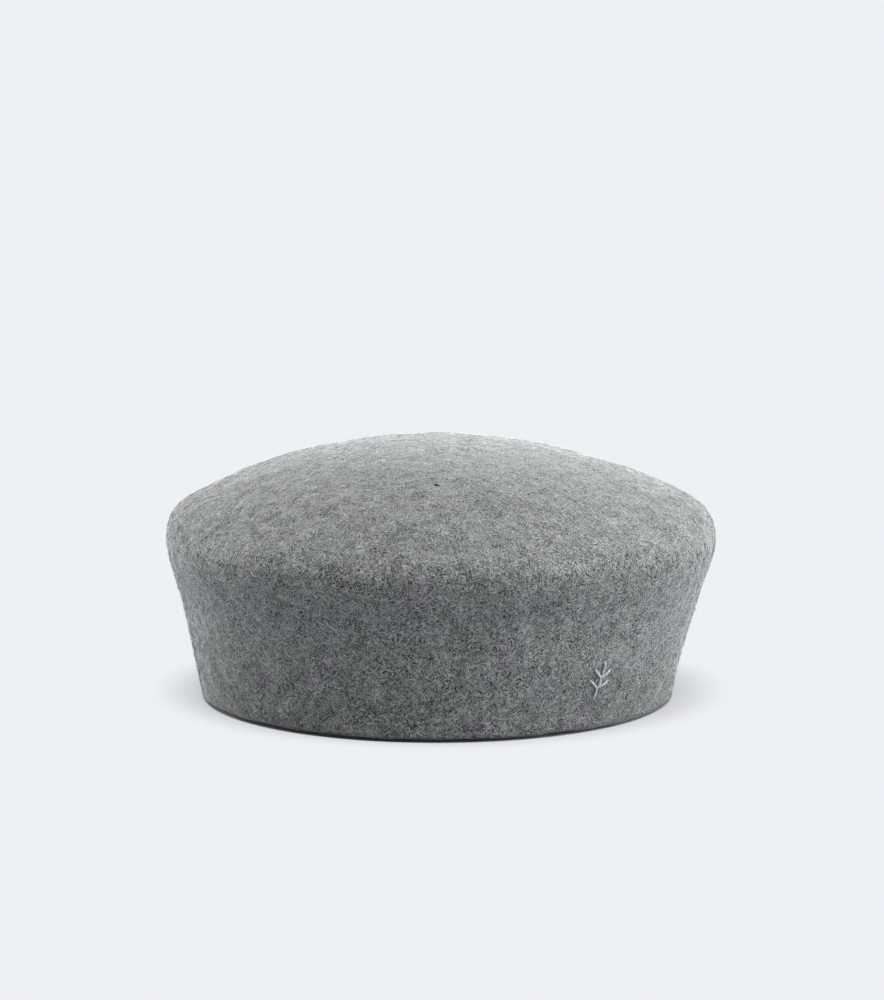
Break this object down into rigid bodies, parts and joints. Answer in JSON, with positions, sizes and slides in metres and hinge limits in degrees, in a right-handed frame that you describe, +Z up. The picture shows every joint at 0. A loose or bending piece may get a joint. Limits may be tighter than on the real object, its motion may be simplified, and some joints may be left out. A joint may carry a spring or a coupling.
{
  "type": "brimless felt hat",
  "caption": "Brimless blocked felt hat with a flared side wall, a soft shoulder and a low dome, hollow and open at the foot.",
  "frame": {"origin": "under the middle of the widest part, on the surface that the hat stands on", "axes": "+Z up through the dome, +Y front to back along the hat's length, -Y the front, +X the wearer's left"},
  "size_m": [0.1946, 0.2284, 0.0913],
  "materials": {
    "wool_felt": "matt heathered grey wool felt with a short fuzz"
  },
  "bodies": {
    "root": {"felt_body": "wool_felt"}
  },
  "joints": []
}
